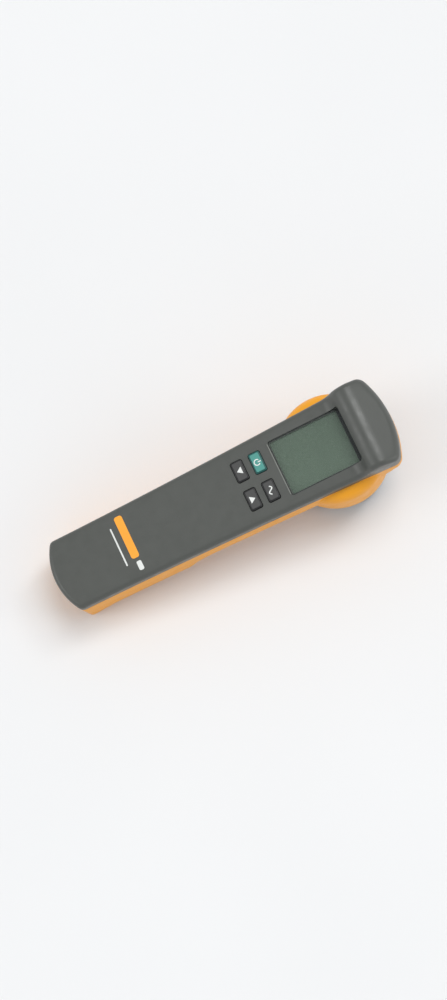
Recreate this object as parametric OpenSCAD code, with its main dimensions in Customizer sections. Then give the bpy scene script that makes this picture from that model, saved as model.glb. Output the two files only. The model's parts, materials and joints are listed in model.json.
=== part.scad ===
// Handheld LED stroboscope. It lies face up, on the edge of its lamp bezel and the heel of its handle.
// Shapes are drawn level: X from the tail to the head, Z from the front of the lamp up to the face.

/* [Body] */
// Length from the tail to the head
body_length = 190.5; // [188:0.5:194]
// Depth from the front of the lamp to the crest of the brow
body_depth = 60.9; // [60:0.1:62]
// Width of the face at the tail
tail_width = 38.6; // [38:0.1:40]
// Width of the face at the head
head_width = 47.8; // [47:0.1:49]
// Radius of the tail's outline
tail_radius = 34.5; // [33:0.5:38]
// Radius of the head's outline
head_radius = 53; // [50:1:60]
// Height of the handle's face above the front of the lamp
face_height = 52.4; // [52:0.1:53]
// Height at which the front and rear shells meet
parting_height = 44.5; // [44.2:0.1:44.8]
// Wall thickness of the shells
wall = 2.2; // [2:0.1:2.4]
// Distance from the tail to the crest of the brow
brow_x = 175; // [174.5:0.1:175.5]
// Radius over the brow
brow_radius = 8; // [7:0.5:9]
// Steepest slope up to the brow, in degrees
brow_slope = 60; // [56:1:62]
// Slope from the brow down to the head's end, in degrees
end_slope = 30; // [26:1:32]

/* [Handle] */
// Height of the grip's back
grip_back = 25; // [24:0.5:26]
// Height of the back over the battery bay
bay_back = 18; // [17.6:0.1:18.2]
// Where the battery bay's step starts
bay_end_x = 64.5; // [64:0.1:65]
// Radius of the handle's back corners
back_corner = 12; // [11:0.5:13]
// Bevel on the heel
heel = 3; // [2:0.5:4]

/* [Lamp] */
// Distance from the tail to the lamp's axis
lamp_x = 156; // [155:0.5:157]
// Diameter of the lamp housing
housing_diameter = 57.1; // [56.5:0.1:58]
// Diameter of the bezel
bezel_diameter = 50.4; // [50:0.1:51]
// Depth of the bezel
bezel_depth = 8; // [7.5:0.1:8.5]
// Diameter of the opening in the bezel
opening_diameter = 39; // [38:0.5:40]
// Diameter of the lens
lens_diameter = 44; // [43:0.2:44.4]
// Radius of the circle of outer LEDs
led_circle = 12.4; // [12.2:0.1:12.6]
// Number of LEDs around the middle one
outer_leds = 6; // [5:1:6]

/* [Display] */
// Length of the display recess along the body
recess_length = 40.3; // [39.5:0.1:40.5]
// Width of the display recess
recess_width = 30.7; // [30.4:0.1:32]
// Distance from the tail to the middle of the display
display_x = 148.35; // [148.2:0.05:148.5]

/* [Keys] */
// Size of a key across the body
key_width = 11; // [10:0.1:11.4]
// Size of a key along the body
key_length = 6.2; // [6:0.1:6.6]
// Distance between the two columns
key_column_pitch = 16; // [15.6:0.1:17]
// Distance between the two rows
key_row_pitch = 10.1; // [9.8:0.1:10.6]
// Distance from the tail to the middle of the keys
keys_x = 114.65; // [114:0.05:115]
// Height of a key above the face
key_height = 0.9; // [0.6:0.1:1.2]
// Travel of a key
key_travel = 0.5; // [0.3:0.1:0.5]

/* [Trigger] */
// Width of the trigger
trigger_width = 10; // [9:0.1:10.4]
// Distance from the tail to the trigger's pivot
pivot_x = 121.6; // [121:0.1:122]
// Height of the trigger's pivot
pivot_height = 30.5; // [30:0.1:31]

/* [Cells] */
// Diameter of a cell
cell_diameter = 14.3; // [14:0.1:14.5]
// Length of a cell without its button
cell_length = 49.2; // [49:0.1:49.4]

/* [Hidden] */
$fn = 96;
eps = 0.01;
tail_half = tail_width / 2;
head_half = head_width / 2;
housing_r = housing_diameter / 2;
bezel_r = bezel_diameter / 2;
rim_r = bezel_r - 1.2;
opening_r = opening_diameter / 2;
lens_r = lens_diameter / 2;
top = 80;

// Rest attitude: the handle drops until its heel is level with the edge of the bezel
rest_edge_x = lamp_x - rim_r;
tilt = atan(bay_back / (rest_edge_x - heel));
flare_height = 30;
housing_waist = 22;
shoulder = 7;
rim_height = flare_height + body_length - lamp_x - housing_r;
lowest = rest_edge_x * sin(tilt);
tail_reach = -face_height * sin(tilt);
head_reach = body_length * cos(tilt) - rim_height * sin(tilt);
middle_x = (tail_reach + head_reach) / 2;

// Line of the brow: a hollow arc up from the flat face, then a round crest
brow_rise = body_depth - face_height;
ramp_radius = brow_rise / (1 - cos(brow_slope)) - brow_radius;
ramp_x = brow_x - (ramp_radius + brow_radius) * sin(brow_slope);
end_run = 20;

// Levels of the parts inside
board_thickness = 1.6;
board_bottom = 44;
board_top = board_bottom + board_thickness;
board_start_x = 81;
board_end_x = 177;
board_half = 16.6;
window_top = 51.9;
window_thickness = 1;
ledge = 0.8;
ledge_thickness = 1.4;
tray_wall = 2;
lcd_length = recess_length - 0.6;
lcd_half = recess_width / 2 - 0.6;
lcd_frame_length = 43;
backlight_length = 32;
connector_x = 18.4;
connector_width = 2.4;
lcd_bottom = board_top + 2;
lcd_top = window_top - window_thickness - ledge_thickness - 0.1;
seat_height = bezel_depth + 2.6;
reflector_depth = 10;
led_board_height = seat_height + reflector_depth;
sink_height = led_board_height + board_thickness;
sink_depth = 12;
insert_r = bezel_r - 2;
cup_mouth_r = 5.9;
cup_throat_r = 2.3;
led_base_r = 2;
led_dome_r = 1.5;
lens_seat = 3.5;
lens_thickness = 2.4;
sink_r = 20;
sink_plate = 3;
fin_count = 9;
fin_pitch = 4;
fin_thickness = 1.2;
fin_reach = 19;
lead_r = 0.9;
lead_x = lamp_x - 22.4;
gap = 0.3;

// Parts on the underside of the main board
chip_x = 140;
chip_size = 12;
chip_height = 1.2;
coil_x = 95;
coil_r = 4.5;
coil_height = 5;
capacitor_x = 94;
capacitor_r = 4;
capacitor_height = 9;
pair_y = 6.5;

// Battery bay: two cells under the face and one nested between them and the door
cell_r = cell_diameter / 2;
cell_start_x = 11.4;
cell_button = 1.3;
upper_cell_height = 41.1;
cell_pitch = cell_diameter + 0.2;
lower_cell_height = upper_cell_height - cell_pitch * sin(60) - 0.1;
CELL_Y = [-cell_pitch / 2, 0, cell_pitch / 2];
CELL_Z = [upper_cell_height, lower_cell_height, upper_cell_height];
tail_contact_x = 7.2;
head_contact_x = 64.6;
contact_thickness = 0.5;
contact_half = 13;
contact_bottom = 23;
contact_height = 25;
partition_x = head_contact_x + contact_thickness;
button_r = 2.7;
spring_outer_r = 4.5;
spring_inner_r = 3;
spring_wall = 0.8;

// Battery door
door_thickness = 2.2;
door_half = 15;
door_end_x = 64;
door_travel = 11;
tab_length = 8;
TAB_X = [19, 45];
rail_inner = 12.4;
rail_height = bay_back + door_thickness + gap;
rail_thickness = 1.4;
tab_height = rail_height + rail_thickness + gap;
tab_thickness = 1.2;
tab_reach = rail_inner + 2.2;
rib_count = 6;
rib_r = 0.6;
rib_pitch = 2.4;
rib_length = 16;
first_rib = 8;

// Screws: [x, y] of each, on both sides of the middle
CASE_SCREWS = [for (x = [76, 182.6], side = [-1, 1]) [x, side * (x < 100 ? 13.6 : 18.6)]];
CASE_SEAT = [30, 30, 38.6, 38.6];
BOARD_SCREWS = [for (x = [86, 173], side = [-1, 1]) [x, side * 11.5]];
case_head_r = 2.5;
case_head_height = 2;
case_shank_r = 1.25;
case_screw_top = 48.5;
case_boss_r = 4.4;
board_head_r = 2;
board_head_height = 1.4;
board_shank_r = 0.95;
board_bite = 3;

// Keys, from the left column to the right and from the upper row to the lower
KEY_X = [for (row = [0.5, -0.5]) keys_x + row * key_row_pitch];
KEY_Y = [key_column_pitch / 2, -key_column_pitch / 2];
key_flange = 0.7;
key_flange_thickness = 0.6;
key_bottom = face_height - wall - gap - key_flange_thickness;
key_round = 0.4;
dome_height = 0.5;
plunger_r = 1.6;
membrane_thickness = 1;
membrane_height = key_bottom - key_travel - 0.2 - membrane_thickness;

// Trigger
pin_r = 1.25;
hub_r = 3;
trigger_half = trigger_width / 2;
spring_half = 1.6;
trigger_end_x = pivot_x - 18.6;
trigger_start_x = pivot_x + 4;
trigger_reach = 9;
finger_hollow = 2;
trigger_swing = 1.1;
post_thickness = 3;
post_half = 3.2;
switch_height = 34.5;
switch_length = 12.8;
switch_width = 5.8;
switch_depth = 6;
leg = 0.8;

// ---- Shared shapes ----

function side_half(x) = tail_half + (head_half - tail_half) * pow(max(x, 0) / body_length, 1.7);

function arc(x, z, r, from, to, steps) =
    [for (i = [0:steps]) let (t = from + (to - from) * i / steps) [x + r * sin(t), z + r * cos(t)]];

// Outline of the body, seen from the face
module outline(inset = 0) {
    stations = [for (i = [-1:13]) i * body_length / 12];
    intersection() {
        polygon(concat(
            [for (x = stations) [x, side_half(x) - inset]],
            [for (i = [14:-1:0]) [stations[i], inset - side_half(stations[i])]]));
        union() {
            translate([tail_radius, 0])
                circle(tail_radius - inset);
            translate([tail_radius / 2, -head_width])
                square([body_length, 2 * head_width]);
        }
        union() {
            translate([body_length - head_radius, 0])
                circle(head_radius - inset);
            translate([-tail_radius, -head_width])
                square([body_length, 2 * head_width]);
        }
    }
}

module along_x(length) {
    rotate([90, 0, 90])
        linear_extrude(length)
            children();
}

module across_y(width) {
    rotate([90, 0, 0])
        linear_extrude(width, center = true)
            children();
}

module rounded_rect(length, width, r) {
    square([length - 2 * r, width], center = true);
    square([length, width - 2 * r], center = true);
    for (sx = [-1, 1], sy = [-1, 1])
        translate([sx * (length / 2 - r), sy * (width / 2 - r)])
            circle(r);
}

module ring(outer, inner, height) {
    difference() {
        cylinder(r = outer, h = height);
        translate([0, 0, -eps])
            cylinder(r = inner, h = height + 2 * eps);
    }
}

module at_lamp(height) {
    translate([lamp_x, 0, height])
        children();
}

// Grey half of the body, as a solid
module face_solid(inset = 0) {
    line = concat(
        [[-10, parting_height - inset], [-10, face_height - inset]],
        arc(ramp_x, face_height + ramp_radius, ramp_radius + inset, 180, 180 - brow_slope, 10),
        arc(brow_x, body_depth - brow_radius, brow_radius - inset, -brow_slope, end_slope, 14),
        [[brow_x + end_run, body_depth - brow_radius - (end_run - (brow_radius - inset) / sin(end_slope))
            * tan(end_slope)], [brow_x + end_run, parting_height - inset]]);
    intersection() {
        translate([0, 0, parting_height - inset])
            linear_extrude(top)
                outline(inset);
        across_y(2 * head_width)
            polygon(line);
    }
}

// Section across the handle, with rounded back corners
module handle_section(back, inset) {
    half = head_half - inset;
    r = back_corner - inset;
    translate([-half, back + inset + r])
        square([2 * half, top]);
    translate([r - half, back + inset])
        square([2 * (half - r), top]);
    for (side = [-1, 1])
        translate([side * (half - r), back + inset + r])
            circle(r);
}

// Yellow half of the handle, as a solid
module handle_solid(inset = 0) {
    step_x = bay_end_x + grip_back - bay_back - inset;
    intersection() {
        linear_extrude(parting_height + (inset > 0 ? eps : 0))
            outline(inset);
        union() {
            intersection() {
                translate([-10, 0, 0])
                    along_x(lamp_x)
                        handle_section(bay_back, inset);
                across_y(2 * head_width)
                    polygon([[-1, top], [-1, bay_back + heel + 1 + 1.4 * inset],
                        [heel + inset, bay_back], [bay_end_x - inset, bay_back],
                        [step_x, grip_back], [step_x, top]]);
            }
            translate([step_x - 1, 0, 0])
                along_x(lamp_x - step_x)
                    handle_section(grip_back, inset);
        }
    }
}

// Round lamp housing with a rounded shoulder, flared under the head to meet the outline
module housing_solid(inset = 0) {
    floor_height = bezel_depth + inset;
    roof_height = parting_height - inset;
    mouth_r = bezel_r + 0.5;
    at_lamp(0)
        rotate_extrude()
            polygon(concat(
                [[0, floor_height], [mouth_r - inset, floor_height], [housing_r - inset, housing_waist]],
                arc(housing_r - shoulder, roof_height - shoulder, shoulder - inset, 90, 10, 8),
                [[0, roof_height]]));
    intersection() {
        linear_extrude(parting_height + (inset > 0 ? eps : 0))
            outline(inset);
        at_lamp(flare_height + 1.4 * inset)
            cylinder(r1 = housing_r - inset, r2 = housing_r - inset + top, h = top);
        translate([lamp_x, -head_width, 0])
            cube([body_length, 2 * head_width, top]);
    }
}

module screw(head_r, head_height, shank_r, length) {
    difference() {
        union() {
            translate([0, 0, -head_height])
                cylinder(r = head_r, h = head_height);
            cylinder(r = shank_r, h = length);
        }
        for (turn = [0, 90])
            rotate(turn)
                translate([-head_r * 0.65, -0.3, -head_height - eps])
                    cube([head_r * 1.3, 0.6, head_height * 0.55]);
    }
}

// ---- Shells ----

module front_shell() color([0.36, 0.37, 0.37])
    difference() {
        union() {
            difference() {
                face_solid();
                face_solid(wall);
            }
            intersection() {
                face_solid();
                translate([display_x - recess_length / 2 - tray_wall, -recess_width / 2 - tray_wall,
                        window_top - window_thickness - ledge_thickness])
                    cube([recess_length + 2 * tray_wall, recess_width + 2 * tray_wall, top]);
            }
            intersection() {
                face_solid();
                union() {
                    for (p = CASE_SCREWS)
                        translate([p[0], p[1], parting_height])
                            cylinder(r = case_shank_r + 2, h = top);
                    for (p = BOARD_SCREWS)
                        translate([p[0], p[1], board_top])
                            cylinder(r = board_shank_r + 1.6, h = top);
                }
            }
        }
        translate([display_x, 0, window_top - window_thickness])
            linear_extrude(top)
                rounded_rect(recess_length, recess_width, 1.5);
        translate([display_x, 0, 0])
            linear_extrude(top)
                rounded_rect(recess_length - 2 * ledge, recess_width - 2 * ledge, 1);
        for (x = KEY_X, y = KEY_Y)
            translate([x, y, 0])
                linear_extrude(top)
                    rounded_rect(key_length + 2 * gap, key_width + 2 * gap, 1.2);
        for (p = CASE_SCREWS)
            translate([p[0], p[1], parting_height - eps])
                cylinder(r = case_shank_r + 0.05, h = 5);
        for (p = BOARD_SCREWS)
            translate([p[0], p[1], board_top - eps])
                cylinder(r = board_shank_r + 0.05, h = board_bite + 0.6);
    }

module rear_shell() color([0.95, 0.68, 0.1])
    difference() {
        union() {
            difference() {
                union() {
                    handle_solid();
                    housing_solid();
                }
                handle_solid(wall);
                housing_solid(wall);
                // Mouth of the housing, inside the face shell's walls
                intersection() {
                    linear_extrude(parting_height + eps)
                        outline(wall);
                    at_lamp(flare_height)
                        cylinder(r = housing_r - wall, h = top);
                }
            }
            // Rails that the door's tabs hook over
            intersection() {
                handle_solid();
                for (side = [0, 1])
                    mirror([0, side, 0])
                        translate([wall, rail_inner, rail_height])
                            cube([door_end_x, head_half - rail_inner, rail_thickness]);
            }
            // Wall between the battery bay and the grip
            intersection() {
                handle_solid();
                translate([partition_x, -head_half, 0])
                    cube([wall, head_width, parting_height]);
            }
            // Screw bosses
            intersection() {
                union() {
                    handle_solid();
                    housing_solid();
                }
                for (p = CASE_SCREWS)
                    translate([p[0], p[1], 0])
                        cylinder(r = case_boss_r, h = parting_height);
            }
            trigger_posts();
        }
        // Opening for the lens
        at_lamp(0)
            cylinder(r = opening_r, h = seat_height + 1);
        // Opening for the trigger
        translate([trigger_end_x - trigger_swing, -trigger_half - gap, grip_back - 2])
            cube([trigger_start_x - trigger_end_x + gap + trigger_swing, trigger_width + 2 * gap, wall + 3]);
        // Opening for the battery door, with a notch for each of its tabs
        translate([-10, -door_half - gap, 0])
            cube([10 + door_end_x + gap, 2 * door_half + 2 * gap, bay_back + door_thickness + gap]);
        for (x = TAB_X)
            translate([x - door_travel - gap, -tab_reach - gap, 0])
                cube([tab_length + 2 * gap, 2 * tab_reach + 2 * gap, tab_height]);
        for (i = [0:3])
            translate([CASE_SCREWS[i][0], CASE_SCREWS[i][1], 0]) {
                cylinder(r = case_head_r + 0.2, h = CASE_SEAT[i]);
                cylinder(r = case_shank_r + 0.35, h = parting_height + 1);
            }
    }

// Two posts inside the rear shell that hold the ends of the trigger's pin
module trigger_posts() {
    foot = grip_back + wall / 2;
    for (side = [-1, 1])
        translate([pivot_x, side * (trigger_half + 2 * gap + post_thickness / 2), 0])
            difference() {
                translate([-post_half, -post_thickness / 2, foot])
                    cube([2 * post_half, post_thickness, pivot_height + post_half - foot]);
                translate([0, 0, pivot_height])
                    rotate([90, 0, 0])
                        cylinder(r = pin_r + 0.02, h = post_thickness + 2, center = true);
            }
}

module battery_door() color([0.93, 0.66, 0.1]) {
    difference() {
        intersection() {
            handle_solid();
            translate([-10, -door_half, 0])
                cube([10 + door_end_x, 2 * door_half, bay_back + door_thickness]);
        }
        for (i = [0:rib_count - 1])
            translate([door_end_x - first_rib - rib_pitch * i, 0, bay_back])
                rotate([90, 0, 0])
                    cylinder(r = rib_r, h = rib_length, center = true);
    }
    // Hooked tabs that run over the rails
    tab_inner = rail_inner - gap - tab_thickness;
    tab_foot = bay_back + door_thickness - 0.5;
    for (x = TAB_X, side = [0, 1])
        mirror([0, side, 0]) {
            translate([x, tab_inner, tab_foot])
                cube([tab_length, tab_thickness, tab_height + tab_thickness - tab_foot]);
            translate([x, tab_inner, tab_height])
                cube([tab_length, tab_reach - tab_inner, tab_thickness]);
        }
}

// ---- Lamp ----

module lamp_bezel() color([0.07, 0.07, 0.08])
    at_lamp(0)
        rotate_extrude()
            polygon([[opening_r + 1.2, 0], [rim_r, 0], [bezel_r, bezel_r - rim_r],
                [bezel_r, bezel_depth], [lens_r + 0.1, bezel_depth], [lens_r + 0.1, lens_seat],
                [opening_r - 0.5, lens_seat], [opening_r - 0.5, 1.5]]);

module lens_window() color([0.85, 0.92, 0.95, 0.4])
    at_lamp(lens_seat)
        cylinder(r = lens_r, h = lens_thickness);

module lens_seal() color([0.1, 0.1, 0.1])
    at_lamp(lens_seat + lens_thickness)
        ring(lens_r, opening_r + 0.2, bezel_depth - lens_seat - lens_thickness);

function led_place(i) = i == 0 ? [0, 0]
    : [led_circle * cos(360 * i / outer_leds), led_circle * sin(360 * i / outer_leds)];

module reflector() color([0.85, 0.86, 0.88])
    at_lamp(seat_height)
        difference() {
            cylinder(r = insert_r, h = reflector_depth);
            for (i = [0:outer_leds])
                translate(led_place(i)) {
                    translate([0, 0, -eps])
                        cylinder(r1 = cup_mouth_r, r2 = cup_throat_r, h = reflector_depth - 1);
                    cylinder(r = cup_throat_r, h = reflector_depth + 1);
                }
        }

module led_board() color([0.9, 0.9, 0.88])
    at_lamp(led_board_height)
        cylinder(r = insert_r, h = board_thickness);

module led(i) color([0.98, 0.95, 0.7])
    at_lamp(led_board_height)
        translate(led_place(i)) {
            translate([0, 0, -1])
                cylinder(r = led_base_r, h = 1);
            translate([0, 0, -1])
                intersection() {
                    sphere(r = led_dome_r);
                    translate([0, 0, -led_base_r])
                        cylinder(r = led_base_r, h = led_base_r + 0.1);
                }
        }

module heat_sink() color([0.7, 0.71, 0.73])
    at_lamp(sink_height) {
        cylinder(r = sink_r, h = sink_plate);
        for (i = [0:fin_count - 1]) {
            fin_x = fin_pitch * (i - (fin_count - 1) / 2);
            fin_half = sqrt(fin_reach * fin_reach - fin_x * fin_x);
            translate([fin_x - fin_thickness / 2, -fin_half, sink_plate - 1])
                cube([fin_thickness, 2 * fin_half, sink_depth - sink_plate + 1]);
        }
    }

module lamp_lead() color([0.75, 0.1, 0.1])
    for (side = [-1, 1])
        translate([lead_x, side * 2, sink_height])
            cylinder(r = lead_r, h = board_bottom - sink_height);

// ---- Electronics ----

module main_board() color([0.1, 0.42, 0.22])
    difference() {
        translate([board_start_x, -board_half, board_bottom])
            cube([board_end_x - board_start_x, 2 * board_half, board_thickness]);
        for (p = BOARD_SCREWS)
            translate([p[0], p[1], 0])
                cylinder(r = board_shank_r + 0.25, h = top);
    }

module processor() color([0.08, 0.08, 0.09])
    translate([chip_x, -chip_size / 2, board_bottom - chip_height])
        cube([chip_size, chip_size, chip_height]);

module driver_coil() color([0.25, 0.25, 0.27])
    translate([coil_x, -pair_y, board_bottom - coil_height])
        difference() {
            cylinder(r = coil_r, h = coil_height);
            translate([0, 0, -eps])
                cylinder(r = 1.2, h = 2);
        }

module reservoir_capacitor() color([0.15, 0.2, 0.45])
    translate([capacitor_x, pair_y, board_bottom - capacitor_height])
        cylinder(r = capacitor_r, h = capacitor_height);

module display_window() color([0.8, 0.88, 0.84, 0.5])
    translate([display_x, 0, window_top - window_thickness])
        linear_extrude(window_thickness)
            rounded_rect(recess_length - 0.2, recess_width - 0.2, 1.4);

module lcd_glass() color([0.42, 0.5, 0.44])
    translate([display_x - lcd_length / 2, -lcd_half, lcd_bottom])
        cube([lcd_length, 2 * lcd_half, lcd_top - lcd_bottom]);

module lcd_backlight() color([0.85, 0.9, 0.86])
    translate([display_x - backlight_length / 2, -lcd_half + 0.5, board_top + gap])
        cube([backlight_length, 2 * lcd_half - 1, lcd_bottom - board_top - gap]);

module lcd_frame() color([0.9, 0.9, 0.86])
    translate([display_x, 0, board_top])
        linear_extrude(lcd_top - board_top)
            difference() {
                square([lcd_frame_length, 2 * board_half - 0.6], center = true);
                square([lcd_length + 0.2, 2 * lcd_half + 0.2], center = true);
            }

module lcd_connectors() color([0.2, 0.2, 0.22])
    for (side = [-1, 1])
        translate([display_x + side * connector_x - connector_width / 2, -lcd_half + 1, board_top])
            cube([connector_width, 2 * lcd_half - 2, lcd_bottom - board_top]);

module dome_switches() color([0.8, 0.8, 0.82])
    for (x = KEY_X, y = KEY_Y)
        translate([x, y, board_top])
            cylinder(r1 = 2.6, r2 = 2, h = dome_height);

module keypad_membrane() color([0.2, 0.2, 0.21]) {
    translate([keys_x, 0, membrane_height])
        linear_extrude(membrane_thickness)
            rounded_rect(2 * key_length + 6, 2 * key_width + 9, 1.5);
    for (x = KEY_X, y = KEY_Y)
        translate([x, y, board_top + dome_height + gap])
            cylinder(r = plunger_r, h = membrane_height - board_top - dome_height - gap + eps);
}

module key(column, row) {
    stem = face_height + key_height - key_bottom;
    translate([KEY_X[row], KEY_Y[column], key_bottom]) {
        linear_extrude(stem - key_round)
            rounded_rect(key_length, key_width, 1);
        linear_extrude(stem)
            rounded_rect(key_length - 2 * key_round, key_width - 2 * key_round, 0.8);
        linear_extrude(key_flange_thickness)
            rounded_rect(key_length + 2 * key_flange, key_width + 2 * key_flange, 1);
    }
}

module power_key() color([0.5, 0.74, 0.68])
    key(0, 0);

module mode_key() color([0.2, 0.2, 0.2])
    key(1, 0);

module down_key() color([0.2, 0.2, 0.2])
    key(0, 1);

module up_key() color([0.2, 0.2, 0.2])
    key(1, 1);

// ---- Trigger ----

module trigger() color([0.06, 0.06, 0.07])
    difference() {
        union() {
            across_y(trigger_width)
                polygon(concat(
                    [[trigger_end_x, pivot_height - 2]],
                    [for (i = [0:8]) [
                        trigger_end_x + (trigger_start_x - trigger_end_x) * i / 8,
                        grip_back - 1.5 - trigger_reach * i / 8 + finger_hollow * sin(180 * i / 8)]],
                    [[trigger_start_x, pivot_height - 2]]));
            translate([pivot_x, 0, pivot_height])
                rotate([90, 0, 0])
                    cylinder(r = hub_r, h = trigger_width, center = true);
            translate([pivot_x - hub_r, -trigger_half, pivot_height - 3])
                cube([2 * hub_r, trigger_width, 3]);
        }
        translate([pivot_x, 0, pivot_height])
            rotate([90, 0, 0])
                cylinder(r = pin_r + 0.05, h = trigger_width + 2, center = true);
        // Slot for the spring
        translate([pivot_x - 8, -spring_half - 0.3, pivot_height - 3.4])
            cube([14, 2 * spring_half + 0.6, 10]);
    }

module trigger_pin() color([0.7, 0.7, 0.72])
    translate([pivot_x, 0, pivot_height])
        rotate([90, 0, 0])
            cylinder(r = pin_r, h = trigger_width + 4 * gap + 2 * post_thickness - 0.8, center = true);

module trigger_spring() color([0.6, 0.6, 0.62]) {
    translate([pivot_x, 0, pivot_height])
        rotate([90, 0, 0])
            difference() {
                cylinder(r = 2.6, h = 2 * spring_half, center = true);
                cylinder(r = pin_r + 0.05, h = 2 * spring_half + 1, center = true);
            }
    translate([pivot_x - 2.4, -leg / 2, pivot_height])
        cube([leg, leg, board_bottom - pivot_height]);
}

module trigger_switch() color([0.1, 0.1, 0.11]) {
    translate([trigger_end_x + 1, -switch_width / 2, switch_height])
        cube([switch_length, switch_width, switch_depth]);
    for (i = [0:2])
        translate([trigger_end_x + 2.4 + 5 * i, -leg / 2, switch_height + switch_depth - 0.5])
            cube([leg, leg, board_bottom - switch_height - switch_depth + 0.5]);
    translate([trigger_end_x + 3, -1, switch_height - 0.9])
        cube([2, 2, 1]);
}

// ---- Battery bay ----

function cell_flipped(i) = i == 1;

module cell(i) color([0.75, 0.7, 0.5])
    translate([cell_flipped(i) ? cell_start_x + cell_length : cell_start_x, CELL_Y[i], CELL_Z[i]])
        rotate([0, cell_flipped(i) ? -90 : 90, 0]) {
            cylinder(r = cell_r, h = cell_length);
            cylinder(r = button_r, h = cell_length + cell_button);
        }

// Cone spring on the flat end of each cell
module cell_spring(i) color([0.8, 0.8, 0.82]) {
    room = cell_flipped(i) ? head_contact_x - cell_start_x - cell_length
        : cell_start_x - tail_contact_x - contact_thickness;
    translate([cell_flipped(i) ? head_contact_x : cell_start_x - room, CELL_Y[i], CELL_Z[i]])
        rotate([0, cell_flipped(i) ? -90 : 90, 0])
            difference() {
                cylinder(r1 = spring_outer_r, r2 = spring_inner_r, h = room);
                translate([0, 0, -eps])
                    cylinder(r1 = spring_outer_r - spring_wall, r2 = spring_inner_r - spring_wall,
                        h = room + 2 * eps);
            }
}

module tail_contact() color([0.8, 0.8, 0.82])
    translate([tail_contact_x, -contact_half, contact_bottom])
        cube([contact_thickness, 2 * contact_half, contact_height]);

module head_contact() color([0.8, 0.8, 0.82]) {
    translate([head_contact_x, -contact_half, contact_bottom])
        cube([contact_thickness, 2 * contact_half, contact_height]);
    for (i = [0, 2])
        translate([cell_start_x + cell_length + cell_button, CELL_Y[i], CELL_Z[i]])
            rotate([0, 90, 0])
                cylinder(r = 2, h = head_contact_x - cell_start_x - cell_length - cell_button);
}

module battery_lead() color([0.75, 0.1, 0.1])
    for (side = [-1, 1])
        translate([partition_x + wall, side * 4, board_bottom - 1])
            rotate([0, 90, 0])
                cylinder(r = lead_r, h = board_start_x - partition_x - wall + 4);

// ---- Fasteners ----

module case_screws() color([0.3, 0.3, 0.32])
    for (i = [0:3])
        translate([CASE_SCREWS[i][0], CASE_SCREWS[i][1], CASE_SEAT[i]])
            screw(case_head_r, case_head_height, case_shank_r, case_screw_top - CASE_SEAT[i]);

module board_screws() color([0.7, 0.7, 0.72])
    for (p = BOARD_SCREWS)
        translate([p[0], p[1], board_bottom])
            screw(board_head_r, board_head_height, board_shank_r, board_thickness + board_bite);

module placed() {
    translate([-middle_x, 0, -lowest])
        rotate([0, -tilt, 0])
            children();
}

placed() front_shell();
placed() rear_shell();
placed() battery_door();
placed() lamp_bezel();
placed() lens_window();
placed() lens_seal();
placed() reflector();
placed() led_board();
placed() led(0);  // led_1
placed() led(1);  // led_2
placed() led(2);  // led_3
placed() led(3);  // led_4
placed() led(4);  // led_5
placed() led(5);  // led_6
placed() led(6);  // led_7
placed() heat_sink();
placed() lamp_lead();
placed() main_board();
placed() processor();
placed() driver_coil();
placed() reservoir_capacitor();
placed() display_window();
placed() lcd_glass();
placed() lcd_backlight();
placed() lcd_frame();
placed() lcd_connectors();
placed() keypad_membrane();
placed() dome_switches();
placed() power_key();
placed() mode_key();
placed() down_key();
placed() up_key();
placed() trigger();
placed() trigger_pin();
placed() trigger_spring();
placed() trigger_switch();
placed() cell(0);  // cell_1
placed() cell(1);  // cell_2
placed() cell(2);  // cell_3
placed() cell_spring(0);  // cell_spring_1
placed() cell_spring(1);  // cell_spring_2
placed() cell_spring(2);  // cell_spring_3
placed() tail_contact();
placed() head_contact();
placed() battery_lead();
placed() case_screws();
placed() board_screws();
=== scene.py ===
import json
import math

import bmesh
import bpy
from mathutils import Matrix, Vector


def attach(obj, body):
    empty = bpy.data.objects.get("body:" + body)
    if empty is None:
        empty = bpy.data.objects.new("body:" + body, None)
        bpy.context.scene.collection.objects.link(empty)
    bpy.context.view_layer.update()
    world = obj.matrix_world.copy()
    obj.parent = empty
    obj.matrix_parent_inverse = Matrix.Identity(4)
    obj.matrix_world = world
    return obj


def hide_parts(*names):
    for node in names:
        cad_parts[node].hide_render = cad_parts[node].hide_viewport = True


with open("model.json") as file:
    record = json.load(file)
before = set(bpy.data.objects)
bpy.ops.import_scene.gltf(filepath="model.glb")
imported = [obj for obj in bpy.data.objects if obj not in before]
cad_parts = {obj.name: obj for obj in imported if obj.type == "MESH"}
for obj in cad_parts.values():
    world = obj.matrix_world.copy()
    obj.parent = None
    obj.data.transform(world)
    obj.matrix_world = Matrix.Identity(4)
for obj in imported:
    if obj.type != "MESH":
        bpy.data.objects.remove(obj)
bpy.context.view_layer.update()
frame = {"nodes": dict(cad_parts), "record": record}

MM = 0.001

# ---- The instrument's own axes: along from tail to head, across to its left, and up out of its face ----

lamp_face = {m["name"]: m for m in frame["record"]["mounts"]}["lamp_bezel_face"]
up = -Vector(lamp_face["axis"])
across = Vector((0, 1, 0))
along = across.cross(up)


def device_corners(node):
    """Lowest and highest corner of a CAD node along the instrument's own axes, in metres."""
    spots = [Vector((v.co.dot(along), v.co.dot(across), v.co.dot(up)))
             for v in frame["nodes"][node].data.vertices]
    low = Vector([min(s[i] for s in spots) for i in range(3)])
    high = Vector([max(s[i] for s in spots) for i in range(3)])
    return low, high


tail_end = device_corners("front_shell")[0].x
lamp_plane = Vector(lamp_face["pos_m"]).dot(up)
# From the instrument's own axes, with its tail at x = 0 and the front of its lamp at z = 0, to the frame
to_frame = (Matrix((along, across, up)).transposed().to_4x4()
            @ Matrix.Translation((tail_end, 0, lamp_plane)))
to_device = to_frame.inverted()


def extent(node):
    """The same corners, counted from the tail and from the front of the lamp."""
    low, high = device_corners(node)
    start = Vector((tail_end, 0, lamp_plane))
    return low - start, high - start


# ---- Mesh helpers ----

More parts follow.
